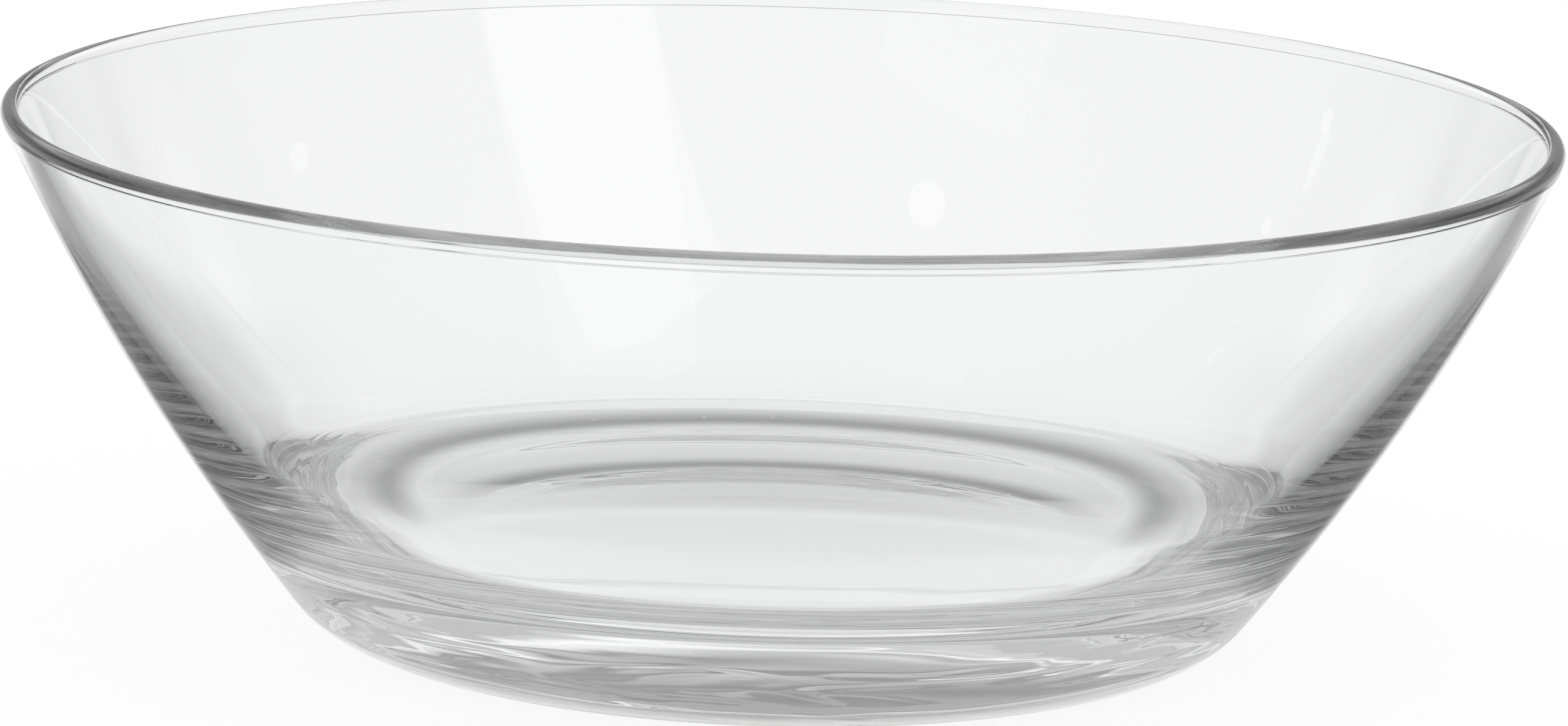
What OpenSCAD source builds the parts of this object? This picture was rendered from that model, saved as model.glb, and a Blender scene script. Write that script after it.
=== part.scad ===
// Clear pressed-glass bowl, one piece of glass, standing on a flat resting ring.
// Millimetres. +Z is up. The origin is the middle of the plane the bowl stands on.

/* [Bowl] */
// widest diameter, over the rounded rim
rim_d = 260; // [160:5:340]
// height from the table to the top of the rim
bowl_h = 88; // [75:1:105]
// thickness of the rim, which is fully round
rim_t = 3; // [2.4:0.1:4]

/* [Wall] */
// radius of the long gentle curve of the outer wall
wall_bow_r = 394; // [300:2:600]
// thickness the wall would reach at the heel
wall_low_t = 8.2; // [6:0.1:10]

/* [Base] */
// outer diameter of the flat ring the bowl stands on
foot_d = 137; // [110:1:145]
// radius of the round heel between that ring and the wall
heel_r = 16; // [12:0.5:18]
// height of the inner floor above the table
floor_t = 20.4; // [13:0.1:23]
// radius of the round between the inner wall and the inner floor
floor_round_r = 18; // [6:0.5:26]
// width of the flat resting ring
ring_w = 6.8; // [4:0.1:12]
// height of the shallow dome under the base, at its middle
dome_h = 4.1; // [2:0.1:6]

/* [Fineness] */
// edges on each full circle of the drawn shape
round_sides = 360; // [90:30:720]
// lengths along the outer wall and along the inner wall
wall_steps = 24; // [12:1:48]
// lengths along each round of the profile
arc_steps = 16; // [8:1:32]

/* [Hidden] */

// the wall's thickness grows with this power of the way down
wall_power = 3;
// small share of the wall used to take the inner wall's direction
slope_share = 0.001;
// shares of the wall between which the inner wall ends, and how often that span is halved
end_shares = [0.2, 0.99];
end_halvings = 24;
// colour of the clear glass
glass_colour = [0.86, 0.91, 0.91, 0.35];

rim_r = rim_t / 2;
foot_r = foot_d / 2;
// centre of the rim's round and of the heel's round
rim_c = [rim_d / 2 - rim_r, bowl_h - rim_r];
heel_c = [foot_r, heel_r];

// centre of the outer wall's curve, which touches the rim's round and the heel's round
span = norm(heel_c - rim_c);
span_dir = (heel_c - rim_c) / span;
to_rim = wall_bow_r - rim_r;
to_heel = wall_bow_r - heel_r;
along = (to_rim * to_rim - to_heel * to_heel + span * span) / (2 * span);
across = sqrt(to_rim * to_rim - along * along);
wall_c = rim_c + along * span_dir + across * [span_dir[1], -span_dir[0]];

// directions, seen from that centre, of the two points where the curve ends
rim_a = atan2(rim_c[1] - wall_c[1], rim_c[0] - wall_c[0]);
heel_a = atan2(heel_c[1] - wall_c[1], heel_c[0] - wall_c[0]);

// the wall at share s of its length, from the rim at zero to the heel at one
function wall_a(s) = rim_a + (heel_a - rim_a) * s;
function wall_out(s) = [cos(wall_a(s)), sin(wall_a(s))];
function outer_p(s) = wall_c + wall_bow_r * wall_out(s);
function wall_t(s) = rim_t + (wall_low_t - rim_t) * pow(s, wall_power);
function inner_p(s) = outer_p(s) - wall_t(s) * wall_out(s);

// points of a round from one direction to another
function arc(c, r, a0, a1, n) =
    [for (i = [0:n]) c + r * [cos(a0 + (a1 - a0) * i / n), sin(a0 + (a1 - a0) * i / n)]];

// direction square to the inner wall at share s, pointing into the bowl
function inner_run(s) = inner_p(s + slope_share) - inner_p(s);
function inner_in(s) = [inner_run(s)[1], -inner_run(s)[0]] / norm(inner_run(s));

// height over the inner floor of a round that touches the inner wall at share s
function over_floor(s) = inner_p(s)[1] - floor_round_r * (1 - inner_in(s)[1]) - floor_t;

// share at which that round also touches the floor, by halving the span of shares
function wall_stop(lo, hi, n) =
    n == 0 ? (lo + hi) / 2 :
    over_floor((lo + hi) / 2) > 0 ? wall_stop((lo + hi) / 2, hi, n - 1) :
    wall_stop(lo, (lo + hi) / 2, n - 1);

wall_end_share = wall_stop(end_shares[0], end_shares[1], end_halvings);
end_in = inner_in(wall_end_share);
floor_c = inner_p(wall_end_share) + floor_round_r * end_in;
floor_a = atan2(-end_in[1], -end_in[0]);

// the dome under the base starts at the resting ring's inner edge
ring_in_r = foot_r - ring_w;
dome_r = (ring_in_r * ring_in_r + dome_h * dome_h) / (2 * dome_h);
dome_a = asin(ring_in_r / dome_r);

// outline of half the glass, from the top of the dome round to the axis on the floor
function profile() = concat(
    arc([0, dome_h - dome_r], dome_r, 90, 90 - dome_a, arc_steps),
    arc(heel_c, heel_r, -90, heel_a, arc_steps),
    [for (i = [1:wall_steps]) outer_p(1 - i / wall_steps)],
    arc(rim_c, rim_r, rim_a, rim_a + 180, arc_steps),
    [for (i = [1:wall_steps]) inner_p(wall_end_share * i / wall_steps)],
    arc(floor_c, floor_round_r, floor_a, -90, arc_steps),
    [[0, floor_t]]
);

// two points that fall together are kept once
function distinct(p) =
    [for (i = [0:len(p) - 1]) if (i == 0 || norm(p[i] - p[i - 1]) > rim_t * slope_share) p[i]];

module bowl() {
    color(glass_colour)
    rotate_extrude($fn = round_sides)
    polygon(distinct(profile()));
}

bowl();
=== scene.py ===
"""Looks of a clear pressed-glass serving bowl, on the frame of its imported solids."""

import logging
import math
from dataclasses import dataclass, field
from enum import Enum

import bpy
from mathutils import Matrix, Quaternion, Vector

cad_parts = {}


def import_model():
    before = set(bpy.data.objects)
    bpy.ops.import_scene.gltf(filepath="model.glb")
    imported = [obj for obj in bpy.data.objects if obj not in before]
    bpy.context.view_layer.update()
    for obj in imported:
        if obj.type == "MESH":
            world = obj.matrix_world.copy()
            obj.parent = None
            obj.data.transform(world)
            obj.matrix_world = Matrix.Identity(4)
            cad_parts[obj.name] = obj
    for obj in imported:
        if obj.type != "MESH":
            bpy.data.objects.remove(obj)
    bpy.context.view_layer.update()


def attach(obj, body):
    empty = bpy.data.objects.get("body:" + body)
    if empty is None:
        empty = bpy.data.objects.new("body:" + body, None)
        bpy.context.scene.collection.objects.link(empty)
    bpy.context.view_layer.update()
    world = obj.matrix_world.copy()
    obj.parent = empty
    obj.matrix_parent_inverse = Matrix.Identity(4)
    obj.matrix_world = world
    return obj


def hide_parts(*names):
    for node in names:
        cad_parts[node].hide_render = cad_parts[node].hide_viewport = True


log = logging.getLogger("glass_bowl")

Colour = tuple[float, float, float]
Socket = bpy.types.NodeSocket

# the full picture's width in pixels
IMAGE_WIDTH = 2576
# a ray's diffuse depth is under this until its first matt bounce
FIRST_MATT_BOUNCE = 0.5


def start_piece() -> None:
    """Leaves object mode ready for a new piece, with nothing selected."""
    if bpy.context.object is not None and bpy.context.object.mode != "OBJECT":
        bpy.ops.object.mode_set(mode="OBJECT")
    bpy.ops.object.select_all(action="DESELECT")


def finish_piece(name: str) -> bpy.types.Object:
    """Names the active piece and puts its origin at the frame's origin.

    Args:
        name: The piece's name.

    Returns:
        The finished object, with its place in its mesh.
    """
    piece = bpy.context.object
    piece.name = name
    piece.data.name = name
    bpy.ops.object.transform_apply(location=True, rotation=True, scale=True)
    return piece


class Sum(Enum):
    """The sums that are asked of a Math node."""

    ADD = "ADD"
    SUBTRACT = "SUBTRACT"
    MULTIPLY = "MULTIPLY"
    DIVIDE = "DIVIDE"
    POWER = "POWER"
    ROOT = "SQRT"
    SIZE = "ABSOLUTE"
    SINE = "SINE"
    LARGER = "MAXIMUM"
    UNDER = "LESS_THAN"
    OVER = "GREATER_THAN"


@dataclass
class NodeBuilder:
    """Adds shader nodes to one tree and links them.

    Args:
        tree: The node tree that gets the nodes.
    """

    tree: bpy.types.NodeTree

    def add(self, kind: str, **settings: object) -> bpy.types.Node:
        """Adds a node.

        Args:
            kind: The node's type name.
            settings: Properties set on the node.

        Returns:
            The new node.
        """
        node = self.tree.nodes.new(kind)
        for key, value in settings.items():
            setattr(node, key, value)
        return node

    def feed(self, value: object, socket: Socket) -> None:
        """Links an output to a socket, or sets the socket's own value.

        Args:
            value: An output socket, or a plain value.
            socket: The input socket.
        """
        if isinstance(value, bpy.types.NodeSocket):
            self.tree.links.new(value, socket)
        else:
            socket.default_value = value

    def math(self, operation: Sum, *values: object) -> Socket:
        """Adds a Math node.

        Args:
            operation: The sum that the node does.
            values: One value or output for each input.

        Returns:
            The node's output.
        """
        node = self.add("ShaderNodeMath", operation=operation.value)
        for value, socket in zip(values, node.inputs):
            self.feed(value, socket)
        return node.outputs[0]

    def product(self, first: object, *others: object) -> Socket:
        """Multiplies numbers, from the first to the last.

        Args:
            first: The first value or output.
            others: The values or outputs that follow.

        Returns:
            The product's output.
        """
        result = first
        for other in others:
            result = self.math(Sum.MULTIPLY, result, other)
        return result

    def reach(self, first: Socket, second: Socket) -> Socket:
        """Gives the length of a line whose two parts stand square to each other.

        Args:
            first: The line's part one way.
            second: Its part the other way.

        Returns:
            The length's output.
        """
        squares = self.math(Sum.ADD, self.product(first, first), self.product(second, second))
        return self.math(Sum.ROOT, squares)

    def distance(self, value: Socket, centre: float) -> Socket:
        """Gives how far a number is from a centre, to either side.

        Args:
            value: The number's output.
            centre: The centre.

        Returns:
            The distance's output, never under zero.
        """
        return self.math(Sum.SIZE, self.math(Sum.SUBTRACT, value, centre))

    def parts(self, label: str) -> tuple[Socket, Socket, Socket]:
        """Gives the x, y and z of a point or direction.

        Args:
            label: The Texture Coordinate node's output.

        Returns:
            The three outputs.
        """
        place = self.add("ShaderNodeTexCoord")
        split = self.add("ShaderNodeSeparateXYZ")
        self.feed(place.outputs[label], split.inputs[0])
        x, y, z = split.outputs
        return x, y, z

    def ramp(self, value: object, low: float, high: float, start: object, end: object) -> Socket:
        """Maps a value smoothly from one range to another.

        Args:
            value: The value or output to map.
            low: Where the change starts.
            high: Where the change ends.
            start: The result at and below low.
            end: The result at and above high.

        Returns:
            The mapped output.
        """
        node = self.add("ShaderNodeMapRange", interpolation_type="SMOOTHSTEP", clamp=True)
        for item, socket in zip((value, low, high, start, end), node.inputs):
            self.feed(item, socket)
        return node.outputs[0]

    def between(self, factor: object, first: object, second: object) -> Socket:
        """Mixes two numbers.

        Args:
            factor: The share of the second number.
            first: The number at a factor of zero.
            second: The number at a factor of one.

        Returns:
            The mixed output.
        """
        node = self.add("ShaderNodeMix", data_type="FLOAT")
        self.feed(factor, node.inputs[0])
        self.feed(first, node.inputs[2])
        self.feed(second, node.inputs[3])
        return node.outputs[0]


@dataclass(frozen=True)
class RoundPlaces:
    """Node group that gives a point's place on a round piece, with no seam.

    Radius and Height are in metres. Band goes round a circle of one radius, and its third value is
    the height plus the radius, so that it also changes over a level face.
    """

    name: str = "round places"
    band_radius: float = 0.1
    least_radius: float = 0.0001

    def make(self) -> bpy.types.NodeTree:
        """Makes the group once.

        Returns:
            The node group, with outputs Radius, Height and Band.
        """
        if self.name in bpy.data.node_groups:
            return bpy.data.node_groups[self.name]
        group = bpy.data.node_groups.new(self.name, "ShaderNodeTree")
        for label in ("Radius", "Height"):
            group.interface.new_socket(name=label, in_out="OUTPUT", socket_type="NodeSocketFloat")
        group.interface.new_socket(name="Band", in_out="OUTPUT", socket_type="NodeSocketVector")
        build = NodeBuilder(group)
        x, y, height = build.parts("Object")
        radius = build.reach(x, y)
        divisor = build.math(Sum.LARGER, radius, self.least_radius)
        band = build.add("ShaderNodeCombineXYZ")
        build.feed(build.product(build.math(Sum.DIVIDE, x, divisor), self.band_radius), band.inputs[0])
        build.feed(build.product(build.math(Sum.DIVIDE, y, divisor), self.band_radius), band.inputs[1])
        build.feed(build.math(Sum.ADD, height, radius), band.inputs[2])
        out = build.add("NodeGroupOutput")
        build.feed(radius, out.inputs["Radius"])
        build.feed(height, out.inputs["Height"])
        build.feed(band.outputs[0], out.inputs["Band"])
        return group


@dataclass(frozen=True)
class Streaks:
    """Noise drawn out round the bowl, with its waves per metre round it and up it."""

    around: float
    up: float
    detail: float = 1.0
    roughness: float = 0.35
    distortion: float = 0.6

    def make(self, build: NodeBuilder, places: bpy.types.Node) -> Socket:
        """Adds the noise.

        Args:
            build: The material's node builder.
            places: The node that gives places on the bowl.

        Returns:
            The noise output, from zero to one.
        """
        stretch = build.add("ShaderNodeMapping")
        build.feed(places.outputs["Band"], stretch.inputs["Vector"])
        stretch.inputs["Scale"].default_value = (self.around, self.around, self.up)
        noise = build.add("ShaderNodeTexNoise")
        build.feed(stretch.outputs[0], noise.inputs["Vector"])
        noise.inputs["Scale"].default_value = 1.0
        noise.inputs["Detail"].default_value = self.detail
        noise.inputs["Roughness"].default_value = self.roughness
        noise.inputs["Distortion"].default_value = self.distortion
        return noise.outputs["Fac"]


@dataclass(frozen=True)
class ClearGlass:
    """Clear pressed glass, with faint press ripples low down and a fire-polished skin."""

    name: str = "clear pressed glass"
    ior: float = 1.52
    tint: Colour = (0.985, 0.99, 0.99)
    bare: Colour = (1.0, 1.0, 1.0)
    tint_waves: float = 22.0
    absorb_colour: Colour = (0.6, 0.6, 0.6)
    absorb_density: float = 6.0
    dust_waves: float = 900.0
    dust_detail: float = 1.0
    dust_from: float = 0.74
    dust_full: float = 0.8
    dust_roughness: float = 0.12
    ripple_in: float = 0.06
    ripple_out: float = 0.075
    heel_top: float = 0.01125
    wall_from: float = 0.0225
    fade_from: float = 0.0315
    fade_top: float = 0.045
    heel_depth: float = 0.0001
    wall_depth: float = 0.00007
    ripples: Streaks = Streaks(9.0, 70.0)
    grain_from: float = 0.0102
    grain_top: float = 0.017
    grain_depth: float = 0.000015
    grain_turns: float = 34.0
    grain: Streaks = Streaks(16.0, 90.0)
    rim_from: float = 0.0855
    rim_full: float = 0.0865
    rim_depth: float = 0.00001
    rim_lines: Streaks = Streaks(50.0, 1500.0)

    def make(self) -> bpy.types.Material:
        """Makes the glass.

        Returns:
            The material.
        """
        material = bpy.data.materials.new(self.name)
        material.use_nodes = True
        material.node_tree.nodes.clear()
        build = NodeBuilder(material.node_tree)
        glass = build.add("ShaderNodeBsdfPrincipled")
        glass.inputs["IOR"].default_value = self.ior
        glass.inputs["Metallic"].default_value = 0.0
        glass.inputs["Transmission Weight"].default_value = 1.0
        build.feed(self.colour(build), glass.inputs["Base Color"])
        build.feed(self.roughness(build), glass.inputs["Roughness"])
        build.feed(self.relief(build), glass.inputs["Normal"])
        body = build.add("ShaderNodeVolumeAbsorption")
        body.inputs["Color"].default_value = (*self.absorb_colour, 1.0)
        body.inputs["Density"].default_value = self.absorb_density
        out = build.add("ShaderNodeOutputMaterial")
        build.feed(glass.outputs[0], out.inputs["Surface"])
        build.feed(body.outputs[0], out.inputs["Volume"])
        return material

    def colour(self, build: NodeBuilder) -> Socket:
        """Gives the glass a colour that varies hardly visibly.

        Args:
            build: The material's node builder.

        Returns:
            The colour output.
        """
        place = build.add("ShaderNodeTexCoord")
        cloud = build.add("ShaderNodeTexNoise")
        build.feed(place.outputs["Object"], cloud.inputs["Vector"])
        cloud.inputs["Scale"].default_value = self.tint_waves
        mix = build.add("ShaderNodeMix", data_type="RGBA")
        build.feed(cloud.outputs["Fac"], mix.inputs[0])
        mix.inputs[6].default_value = (*self.tint, 1.0)
        mix.inputs[7].default_value = (*self.bare, 1.0)
        return mix.outputs[2]

    def roughness(self, build: NodeBuilder) -> Socket:
        """Keeps the skin clear, with a few fine specks of dust.

        Args:
            build: The material's node builder.

        Returns:
            The roughness output.
        """
        place = build.add("ShaderNodeTexCoord")
        dust = build.add("ShaderNodeTexNoise")
        build.feed(place.outputs["Object"], dust.inputs["Vector"])
        dust.inputs["Scale"].default_value = self.dust_waves
        dust.inputs["Detail"].default_value = self.dust_detail
        return build.ramp(dust.outputs["Fac"], self.dust_from, self.dust_full, 0.0, self.dust_roughness)

    def relief(self, build: NodeBuilder) -> Socket:
        """Adds the press ripples on heel and wall, the grain round the heel and fine lines on the rim.

        Args:
            build: The material's node builder.

        Returns:
            The normal output.
        """
        places = build.add("ShaderNodeGroup")
        places.node_tree = RoundPlaces().make()
        height = places.outputs["Height"]
        outside = build.ramp(places.outputs["Radius"], self.ripple_in, self.ripple_out, 0.0, 1.0)

        deep = build.ramp(height, self.heel_top, self.wall_from, self.heel_depth, self.wall_depth)
        deep = build.product(deep, build.ramp(height, self.fade_from, self.fade_top, 1.0, 0.0), outside)
        ripples = build.product(deep, self.ripples.make(build, places))

        fine = build.ramp(height, self.grain_from, self.grain_top, self.grain_depth, 0.0)
        turns = build.product(self.grain.make(build, places), self.grain_turns)
        grain = build.product(fine, outside, build.math(Sum.SINE, turns))

        on_rim = build.ramp(height, self.rim_from, self.rim_full, 0.0, self.rim_depth)
        rim = build.product(on_rim, self.rim_lines.make(build, places))

        bump = build.add("ShaderNodeBump")
        bump.inputs["Strength"].default_value = 1.0
        bump.inputs["Distance"].default_value = 1.0
        build.feed(build.math(Sum.ADD, build.math(Sum.ADD, ripples, grain), rim), bump.inputs["Height"])
        return bump.outputs[0]


@dataclass
class PressedBowl:
    """The bowl, one piece of glass. All lengths are in metres and match the solids."""

    rim_d: float = 0.26
    height: float = 0.088
    rim_t: float = 0.003
    wall_bow_r: float = 0.394
    wall_low_t: float = 0.0082
    wall_power: float = 3.0
    foot_d: float = 0.137
    heel_r: float = 0.016
    floor_t: float = 0.0204
    floor_round_r: float = 0.018
    ring_w: float = 0.0068
    dome_h: float = 0.0041
    # the mould's parting line: its place and half width as shares of the wall, and its height
    line_share: float = 0.0091
    line_half: float = 0.0021
    line_out: float = 0.00008
    # places across that line in half widths, and the share of its height that each one has
    line_form: tuple[tuple[float, float], ...] = (
        (1.5, 0.0), (0.8, 0.0), (0.3, 1.0), (-0.3, 1.0), (-0.8, 0.0), (-1.5, 0.0)
    )
    dome_steps: int = 24
    ring_steps: int = 4
    wall_steps: int = 34
    arc_steps: int = 16
    floor_steps: int = 8
    turn_steps: int = 288
    # the span of shares in which the inner wall ends, and how often that span is halved
    end_span: tuple[float, float] = (0.2, 0.99)
    end_halvings: int = 40
    slope_share: float = 0.001
    least_step: float = 0.000005
    merge_within: float = 0.000002
    first_size: float = 0.001
    finish: ClearGlass = field(default_factory=ClearGlass)
    rim_c: Vector = field(init=False)
    heel_c: Vector = field(init=False)
    wall_c: Vector = field(init=False)
    rim_a: float = field(init=False)
    heel_a: float = field(init=False)
    wall_end: float = field(init=False)

    def __post_init__(self) -> None:
        """Works out the centres and angles of the outline."""
        rim_r = self.rim_t / 2
        self.rim_c = Vector((self.rim_d / 2 - rim_r, self.height - rim_r))
        self.heel_c = Vector((self.foot_d / 2, self.heel_r))
        run = self.heel_c - self.rim_c
        span = run.length
        run = run / span
        to_rim = self.wall_bow_r - rim_r
        to_heel = self.wall_bow_r - self.heel_r
        along = (to_rim**2 - to_heel**2 + span**2) / (2 * span)
        across = math.sqrt(to_rim**2 - along**2)
        self.wall_c = self.rim_c + along * run + across * Vector((run.y, -run.x))
        to_rim_c = self.rim_c - self.wall_c
        to_heel_c = self.heel_c - self.wall_c
        self.rim_a = math.atan2(to_rim_c.y, to_rim_c.x)
        self.heel_a = math.atan2(to_heel_c.y, to_heel_c.x)
        self.wall_end = self.find_wall_end()

    def wall_out(self, share: float) -> Vector:
        """Gives the outward direction of the outer wall at a share of its length."""
        angle = self.rim_a + (self.heel_a - self.rim_a) * share
        return Vector((math.cos(angle), math.sin(angle)))

    def outer(self, share: float) -> Vector:
        """Gives a point of the outer wall at a share of its length."""
        return self.wall_c + self.wall_bow_r * self.wall_out(share)

    def inner(self, share: float) -> Vector:
        """Gives a point of the inner wall at a share of its length."""
        thick = self.rim_t + (self.wall_low_t - self.rim_t) * share**self.wall_power
        return self.outer(share) - thick * self.wall_out(share)

    def inner_in(self, share: float) -> Vector:
        """Gives the direction square to the inner wall, into the bowl."""
        run = (self.inner(share + self.slope_share) - self.inner(share)).normalized()
        return Vector((run.y, -run.x))

    def find_wall_end(self) -> float:
        """Finds where a round touches both the inner wall and the inner floor.

        Returns:
            The share of the wall at which the round starts.
        """
        low, high = self.end_span
        for _ in range(self.end_halvings):
            middle = (low + high) / 2
            lift = self.inner(middle).y - self.floor_round_r * (1 - self.inner_in(middle).y)
            if lift > self.floor_t:
                low = middle
            else:
                high = middle
        return (low + high) / 2

    def arc(self, centre: Vector, radius: float, start: float, end: float, steps: int) -> list[Vector]:
        """Gives the points of a round.

        Args:
            centre: The round's centre.
            radius: Its radius.
            start: The first direction, in radians.
            end: The last direction, in radians.
            steps: How many lengths it has.

        Returns:
            The points from start to end.
        """
        angles = [start + (end - start) * i / steps for i in range(steps + 1)]
        return [centre + radius * Vector((math.cos(a), math.sin(a))) for a in angles]

    def outline(self) -> list[Vector]:
        """Gives half the glass as one line, from the top of the dome to the axis on the floor.

        Returns:
            The points, as radius and height.
        """
        points = self.underside() + self.outside()
        points += self.arc(self.rim_c, self.rim_t / 2, self.rim_a, self.rim_a + math.pi, self.arc_steps)
        points += self.inside()
        kept = [points[0]]
        for point in points[1:]:
            if (point - kept[-1]).length > self.least_step:
                kept.append(point)
        return kept

    def underside(self) -> list[Vector]:
        """Gives the dome under the base and the flat resting ring.

        Returns:
            The points, from the axis out to just short of the ring's outer edge.
        """
        up = math.pi / 2
        ring_in = self.foot_d / 2 - self.ring_w
        dome_r = (ring_in**2 + self.dome_h**2) / (2 * self.dome_h)
        dome_c = Vector((0.0, self.dome_h - dome_r))
        points = self.arc(dome_c, dome_r, up, up - math.asin(ring_in / dome_r), self.dome_steps)
        points[0].x = 0.0
        steps = range(1, self.ring_steps)
        return points + [Vector((ring_in + self.ring_w * i / self.ring_steps, 0.0)) for i in steps]

    def outside(self) -> list[Vector]:
        """Gives the heel, the outer wall and the parting line.

        Returns:
            The points, from the ring's outer edge up to just under the rim.
        """
        points = self.arc(self.heel_c, self.heel_r, -math.pi / 2, self.heel_a, self.arc_steps)
        points += [self.outer(1 - i / self.wall_steps) for i in range(1, self.wall_steps)]
        return points + self.parting_line()

    def parting_line(self) -> list[Vector]:
        """Gives the fine raised line that the mould leaves under the rim.

        Returns:
            The points across the line, going up the outer wall.
        """
        points = []
        for step, rise in self.line_form:
            share = self.line_share + step * self.line_half
            points.append(self.outer(share) + rise * self.line_out * self.wall_out(share))
        return points

    def inside(self) -> list[Vector]:
        """Gives the inner wall, its round and the flat inner floor.

        Returns:
            The points, from just under the rim to the axis.
        """
        points = [self.inner(self.wall_end * i / self.wall_steps) for i in range(1, self.wall_steps)]
        inward = self.inner_in(self.wall_end)
        floor_c = self.inner(self.wall_end) + self.floor_round_r * inward
        floor_a = math.atan2(-inward.y, -inward.x)
        points += self.arc(floor_c, self.floor_round_r, floor_a, -math.pi / 2, self.arc_steps)
        steps = range(1, self.floor_steps + 1)
        return points + [Vector((floor_c.x * (1 - i / self.floor_steps), self.floor_t)) for i in steps]

    def build(self) -> bpy.types.Object:
        """Draws the outline by extruding one corner and spins it about the axis.

        Returns:
            The finished bowl.
        """
        start_piece()
        points = self.outline()
        first = points[0]
        bpy.ops.mesh.primitive_plane_add(size=self.first_size, location=(first.x, 0.0, first.y))
        bpy.ops.object.mode_set(mode="EDIT")
        bpy.ops.mesh.select_all(action="SELECT")
        bpy.ops.mesh.merge(type="CENTER")
        for last, point in zip(points, points[1:]):
            step = point - last
            bpy.ops.mesh.extrude_region_move(TRANSFORM_OT_translate={"value": (step.x, 0.0, step.y)})
        bpy.ops.mesh.select_all(action="SELECT")
        bpy.ops.mesh.spin(
            steps=self.turn_steps, angle=2 * math.pi, center=(0.0, 0.0, 0.0), axis=(0.0, 0.0, 1.0)
        )
        bpy.ops.mesh.select_all(action="SELECT")
        bpy.ops.mesh.remove_doubles(threshold=self.merge_within)
        bpy.ops.mesh.normals_make_consistent(inside=False)
        bpy.ops.object.mode_set(mode="OBJECT")
        piece = finish_piece("pressed_bowl")
        bpy.ops.object.shade_smooth()
        return piece

    def dress(self, piece: bpy.types.Object) -> None:
        """Gives the bowl its glass and ties it to the frame.

        Args:
            piece: The built bowl.
        """
        piece.data.materials.clear()
        piece.data.materials.append(self.finish.make())
        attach(piece, "root")
        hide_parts("bowl")

    def make(self) -> bpy.types.Object:
        """Builds and dresses the bowl.

        Returns:
            The finished bowl.
        """
        piece = self.build()
        self.dress(piece)
        log.info("bowl: %d points, %d faces", len(piece.data.vertices), len(piece.data.polygons))
        return piece


@dataclass
class SoftWorld:
    """The soft light all round: brightest above and behind, greyer low down and at the sides.

    Heights and the way back are parts of a direction, from minus one to one.
    """

    name: str = "soft light"
    plain_level: float = 1.0
    back_from: float = 0.235
    back_to: float = 0.33
    back_low: float = 0.68
    back_high: float = 1.2
    glow_height: float = 0.36
    glow_half: float = 0.08
    glow: float = 0.65
    edge_height: float = 0.222
    edge_half: float = 0.035
    edge_dip: float = 0.22
    side_from: float = 0.3
    side_to: float = 0.95
    side_low: float = 0.72
    side_high: float = 1.0
    base_from: float = 0.2
    base_to: float = 0.42
    side_base: float = 0.45
    behind_from: float = 0.4
    behind_full: float = 0.8

    def make(self) -> None:
        """Sets the scene's world."""
        world = bpy.data.worlds.new(self.name)
        world.use_nodes = True
        world.node_tree.nodes.clear()
        build = NodeBuilder(world.node_tree)
        path = build.add("ShaderNodeLightPath")
        bounced = build.math(Sum.OVER, path.outputs["Diffuse Depth"], FIRST_MATT_BOUNCE)
        plain = build.math(Sum.LARGER, path.outputs["Is Camera Ray"], bounced)
        shine = build.add("ShaderNodeBackground")
        build.feed(build.between(plain, self.soft_level(build), self.plain_level), shine.inputs["Strength"])
        out = build.add("ShaderNodeOutputWorld")
        build.feed(shine.outputs[0], out.inputs["Surface"])
        bpy.context.scene.world = world
        log.info("world: %s", self.name)

    def soft_level(self, build: NodeBuilder) -> Socket:
        """Gives the level of the surround by direction.

        Args:
            build: The world's node builder.

        Returns:
            The level's output.
        """
        _, back, up = build.parts("Generated")
        behind = build.ramp(up, self.back_from, self.back_to, self.back_low, self.back_high)
        glow = build.ramp(build.distance(up, self.glow_height), 0.0, self.glow_half, self.glow, 0.0)
        dip = build.ramp(build.distance(up, self.edge_height), 0.0, self.edge_half, self.edge_dip, 0.0)
        behind = build.math(Sum.SUBTRACT, build.math(Sum.ADD, behind, glow), dip)
        aside = build.ramp(up, self.side_from, self.side_to, self.side_low, self.side_high)
        aside = build.product(aside, build.ramp(up, self.base_from, self.base_to, self.side_base, 1.0))
        share = build.ramp(back, self.behind_from, self.behind_full, 0.0, 1.0)
        return build.between(share, aside, behind)


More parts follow.
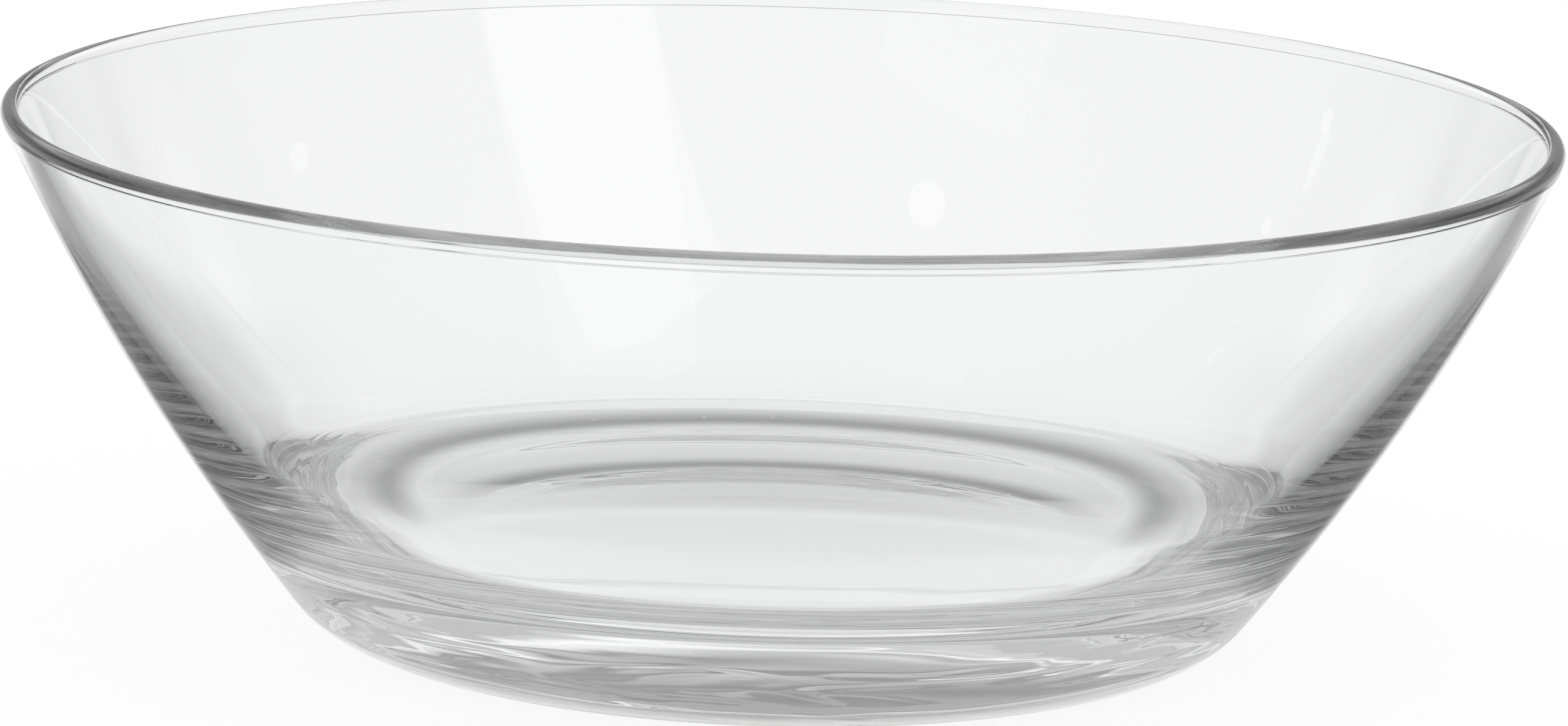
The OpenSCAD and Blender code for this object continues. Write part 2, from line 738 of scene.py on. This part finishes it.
@dataclass(frozen=True)
class PaleTableWithPaintedShade:
    """A pale surface that keeps a soft shadow, with painted shade and light seen in the glass.

    It is white where it is looked at. Seen in the glass it has soft painted shade at fixed places: a
    painted shadow under the heel's far side, painted shade under the base and beside the bowl, and a
    painted brighter stretch in front of the base.
    """

    name: str = "pale floor"
    colour: Colour = (0.93, 0.93, 0.93)
    plain_share: float = 0.82
    plain_level: float = 1.06
    # painted shade: the lower level under the base, and the level beyond it
    near_r: float = 0.078
    near_level: float = 0.87
    far_r: float = 0.1
    far_level: float = 0.99
    # painted light: the brighter stretch in front of the base
    front_y: float = -0.03
    painted_front_light: float = 0.25
    front_rise: tuple[float, float] = (0.07, 0.075)
    front_fall: tuple[float, float] = (0.115, 0.15)
    # painted shadow under the heel, wider and softer at the far side
    ring_r: float = 0.067
    ring_back: float = 0.0095
    ring_far_y: float = 0.078
    ring_in_w: float = 0.006
    ring_out_w: float = 0.0085
    ring_spread: float = 0.35
    ring_level: float = 0.05
    ring_far_level: float = 0.12
    # painted shade at both sides: a long soft shape, turned a little
    side_x: float = 0.176
    side_y: float = 0.098
    side_turn: float = 24.0
    side_half_w: float = 0.045
    side_half_l: float = 0.18
    side_power: float = 4.0
    side_edge: tuple[float, float] = (0.7, 1.15)
    side_limit: tuple[float, float] = (0.088, 0.102)
    side_near_y: float = 0.02
    side_level: float = 0.14
    side_far_y: float = 0.12
    side_far_level: float = 0.32

    def make(self) -> bpy.types.Material:
        """Makes the finish.

        Returns:
            The material.
        """
        material = bpy.data.materials.new(self.name)
        material.use_nodes = True
        material.node_tree.nodes.clear()
        build = NodeBuilder(material.node_tree)
        matt = build.add("ShaderNodeBsdfDiffuse")
        matt.inputs["Color"].default_value = (*self.colour, 1.0)
        glow = build.add("ShaderNodeEmission")
        path = build.add("ShaderNodeLightPath")
        looked_at = path.outputs["Is Camera Ray"]
        seen = build.math(Sum.LARGER, looked_at, path.outputs["Is Glossy Ray"])
        seen = build.math(Sum.LARGER, seen, path.outputs["Is Transmission Ray"])
        first = build.math(Sum.UNDER, path.outputs["Diffuse Depth"], FIRST_MATT_BOUNCE)
        # the camera sees the plain level; glossy and glass rays see the painted shade and light by place
        build.feed(build.between(looked_at, self.shade(build), self.plain_level), glow.inputs["Strength"])
        mix = build.add("ShaderNodeMixShader")
        build.feed(build.product(seen, first, self.plain_share), mix.inputs[0])
        build.feed(matt.outputs[0], mix.inputs[1])
        build.feed(glow.outputs[0], mix.inputs[2])
        out = build.add("ShaderNodeOutputMaterial")
        build.feed(mix.outputs[0], out.inputs["Surface"])
        return material

    def shade(self, build: NodeBuilder) -> Socket:
        """Gives the floor's painted shade and light round the bowl, by place.

        Args:
            build: The material's node builder.

        Returns:
            The level's output.
        """
        x, y, _ = build.parts("Object")
        ring_reach = build.reach(x, build.math(Sum.SUBTRACT, y, self.ring_back))
        # painted shade under the base, painted light in front of it, and painted shadows under the heel and
        # beside the bowl
        base = build.ramp(ring_reach, self.near_r, self.far_r, self.near_level, self.far_level)
        base = build.math(Sum.ADD, base, self.front(build, y, build.reach(x, y)))
        return build.product(base, self.heel_shade(build, y, ring_reach), self.side_shade(build, x, y))

    def front(self, build: NodeBuilder, y: Socket, radius: Socket) -> Socket:
        """Gives the painted light: a brighter stretch in front of the base.

        Args:
            build: The material's node builder.
            y: The way back.
            radius: The distance from the bowl's axis.

        Returns:
            The output to add to the level.
        """
        front = build.ramp(y, self.front_y, 0.0, self.painted_front_light, 0.0)
        rise = build.ramp(radius, *self.front_rise, 0.0, 1.0)
        return build.product(front, rise, build.ramp(radius, *self.front_fall, 1.0, 0.0))

    def heel_shade(self, build: NodeBuilder, y: Socket, reach: Socket) -> Socket:
        """Gives the painted shadow under the heel's far side.

        Args:
            build: The material's node builder.
            y: The way back.
            reach: The distance from the ring's centre.

        Returns:
            The output to multiply the level by.
        """
        away = build.ramp(y, 0.0, self.ring_far_y, 0.0, 1.0)
        spread = build.math(Sum.ADD, build.product(away, self.ring_spread), 1.0)
        off = build.math(Sum.DIVIDE, build.math(Sum.SUBTRACT, reach, self.ring_r), spread)
        dark = build.between(away, self.ring_level, self.ring_far_level)
        inner = build.ramp(off, -self.ring_in_w, 0.0, 1.0, dark)
        outer = build.ramp(off, 0.0, self.ring_out_w, dark, 1.0)
        far_half = build.ramp(y, self.front_y, 0.0, 0.0, 1.0)
        return build.between(far_half, 1.0, build.math(Sum.LARGER, inner, outer))

    def side_shade(self, build: NodeBuilder, x: Socket, y: Socket) -> Socket:
        """Gives the painted shade beside the bowl, the same at both sides.

        Args:
            build: The material's node builder.
            x: The way right.
            y: The way back.

        Returns:
            The output to multiply the level by.
        """
        wide = build.math(Sum.SIZE, x)
        from_x = build.math(Sum.SUBTRACT, wide, self.side_x)
        from_y = build.math(Sum.SUBTRACT, y, self.side_y)
        cosine = math.cos(math.radians(self.side_turn))
        sine = math.sin(math.radians(self.side_turn))
        across = build.math(Sum.SUBTRACT, build.product(from_x, cosine), build.product(from_y, sine))
        along = build.math(Sum.ADD, build.product(from_x, sine), build.product(from_y, cosine))
        powers = []
        for part, half in ((across, self.side_half_w), (along, self.side_half_l)):
            share = build.math(Sum.SIZE, build.math(Sum.DIVIDE, part, half))
            powers.append(build.math(Sum.POWER, share, self.side_power))
        off = build.math(Sum.POWER, build.math(Sum.ADD, *powers), 1 / self.side_power)
        dark = build.ramp(y, self.side_near_y, self.side_far_y, self.side_level, self.side_far_level)
        side = build.ramp(off, *self.side_edge, dark, 1.0)
        return build.math(Sum.LARGER, side, build.ramp(wide, *self.side_limit, 1.0, 0.0))


@dataclass
class PaleFloor:
    """The pale table that the bowl stands on, plain to the camera, with painted shade seen in the glass."""

    half: float = 6.0
    under: float = 0.0003
    cuts: int = 7
    # the table's finish, with painted shade and light that the glass shows
    finish: PaleTableWithPaintedShade = field(default_factory=PaleTableWithPaintedShade)

    def make(self) -> None:
        """Builds the floor."""
        start_piece()
        bpy.ops.mesh.primitive_plane_add(size=2 * self.half, location=(0.0, 0.0, -self.under))
        bpy.ops.object.mode_set(mode="EDIT")
        bpy.ops.mesh.select_all(action="SELECT")
        bpy.ops.mesh.subdivide(number_cuts=self.cuts)
        bpy.ops.object.mode_set(mode="OBJECT")
        floor = finish_piece("pale_floor")
        floor.data.materials.append(self.finish.make())
        log.info("floor: %.1f m across", 2 * self.half)


class LampFace(Enum):
    """The outline of a lamp's face."""

    STRAIGHT = "RECTANGLE"
    ROUND = "ELLIPSE"

    def area(self, width: float, length: float) -> float:
        """Gives the area of a face with this outline."""
        return width * length * (math.pi / 4 if self is LampFace.ROUND else 1.0)


@dataclass
class SoftLamp:
    """One flat lamp that faces the bowl, with its angles in degrees."""

    name: str
    azimuth: float
    elevation: float
    distance: float
    width: float
    length: float
    level: float
    face: LampFace = LampFace.STRAIGHT
    roll: float = 0.0
    aim: tuple[float, float, float] = (0.0, 0.0, 0.045)

    def make(self) -> None:
        """Adds the lamp, aimed at the middle of the bowl."""
        turn = math.radians(self.azimuth)
        lift = math.radians(self.elevation)
        way = Vector((math.sin(turn) * math.cos(lift), math.cos(turn) * math.cos(lift), math.sin(lift)))
        data = bpy.data.lights.new(self.name, "AREA")
        data.shape = self.face.value
        data.size = self.width
        data.size_y = self.length
        data.energy = self.level * self.face.area(self.width, self.length) * math.pi
        lamp = bpy.data.objects.new(self.name, data)
        bpy.context.scene.collection.objects.link(lamp)
        lamp.location = Vector(self.aim) + way * self.distance
        facing = (-way).to_track_quat("-Z", "Y")
        lamp.rotation_euler = (facing @ Quaternion((0.0, 0.0, 1.0), math.radians(self.roll))).to_euler()
        log.info("lamp: %s", self.name)


@dataclass
class PhotoCamera:
    """The camera at the photograph's viewing angle, with its angles in degrees."""

    distance: float = 1.3
    elevation: float = 11.5
    roll: float = 1.713
    pixels_per_metre: float = 9786.0
    aim: tuple[float, float, float] = (0.0013, 0.0, 0.0451)
    sensor: float = 36.0
    nearest: float = 0.01
    farthest: float = 50.0

    def make(self) -> None:
        """Adds the camera and makes it the scene's camera."""
        lift = math.radians(self.elevation)
        way = Vector((0.0, -math.cos(lift), math.sin(lift)))
        data = bpy.data.cameras.new("photo_camera")
        data.sensor_width = self.sensor
        data.lens = self.pixels_per_metre * self.distance / IMAGE_WIDTH * self.sensor
        data.clip_start = self.nearest
        data.clip_end = self.farthest
        camera = bpy.data.objects.new("photo_camera", data)
        bpy.context.scene.collection.objects.link(camera)
        camera.location = Vector(self.aim) + way * self.distance
        look = (-way).to_track_quat("-Z", "Y").to_matrix()
        turn = Matrix.Rotation(math.radians(self.roll), 3, look @ Vector((0.0, 0.0, 1.0)))
        camera.rotation_euler = (turn @ look).to_euler()
        bpy.context.scene.camera = camera
        log.info("camera: %.1f mm lens", data.lens)


@dataclass
class Studio:
    """World, floor, lamps and camera."""

    world: SoftWorld = field(default_factory=SoftWorld)
    floor: PaleFloor = field(default_factory=PaleFloor)
    camera: PhotoCamera = field(default_factory=PhotoCamera)
    # light goes round inside the thick rim for dozens of bounces before it leaves
    path_steps: int = 64
    lamps: list[SoftLamp] = field(
        default_factory=lambda: [
            SoftLamp("window", 137.0, 52.0, 1.3, 0.56, 0.66, 0.55),
            SoftLamp("door", -144.0, 42.0, 1.3, 0.52, 0.3, 0.25),
            SoftLamp("bulb_left", -142.6, 55.0, 1.3, 0.129, 0.081, 0.9, LampFace.ROUND),
            SoftLamp("bulb_right", 74.2, 32.8, 1.3, 0.097, 0.025, 0.7, LampFace.ROUND, -16.0),
            SoftLamp("bulb_far_left", -69.2, 32.4, 1.3, 0.05, 0.016, 0.8, LampFace.ROUND, 16.0),
            SoftLamp("bulb_near_left", -69.3, 28.0, 1.3, 0.05, 0.016, 0.8, LampFace.ROUND, 16.0),
        ]
    )

    def make(self) -> None:
        """Builds the studio."""
        scene = bpy.context.scene
        scene.view_settings.view_transform = "Standard"
        scene.cycles.max_bounces = self.path_steps
        scene.cycles.glossy_bounces = self.path_steps
        scene.cycles.transmission_bounces = self.path_steps
        self.camera.make()
        self.world.make()
        self.floor.make()
        for lamp in self.lamps:
            lamp.make()


def main() -> None:
    """Builds the scene's pieces in order and reports each one."""
    logging.basicConfig(level=logging.INFO, format="%(name)s: %(message)s")
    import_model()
    Studio().make()
    PressedBowl().make()


if __name__ == "__main__":
    main()
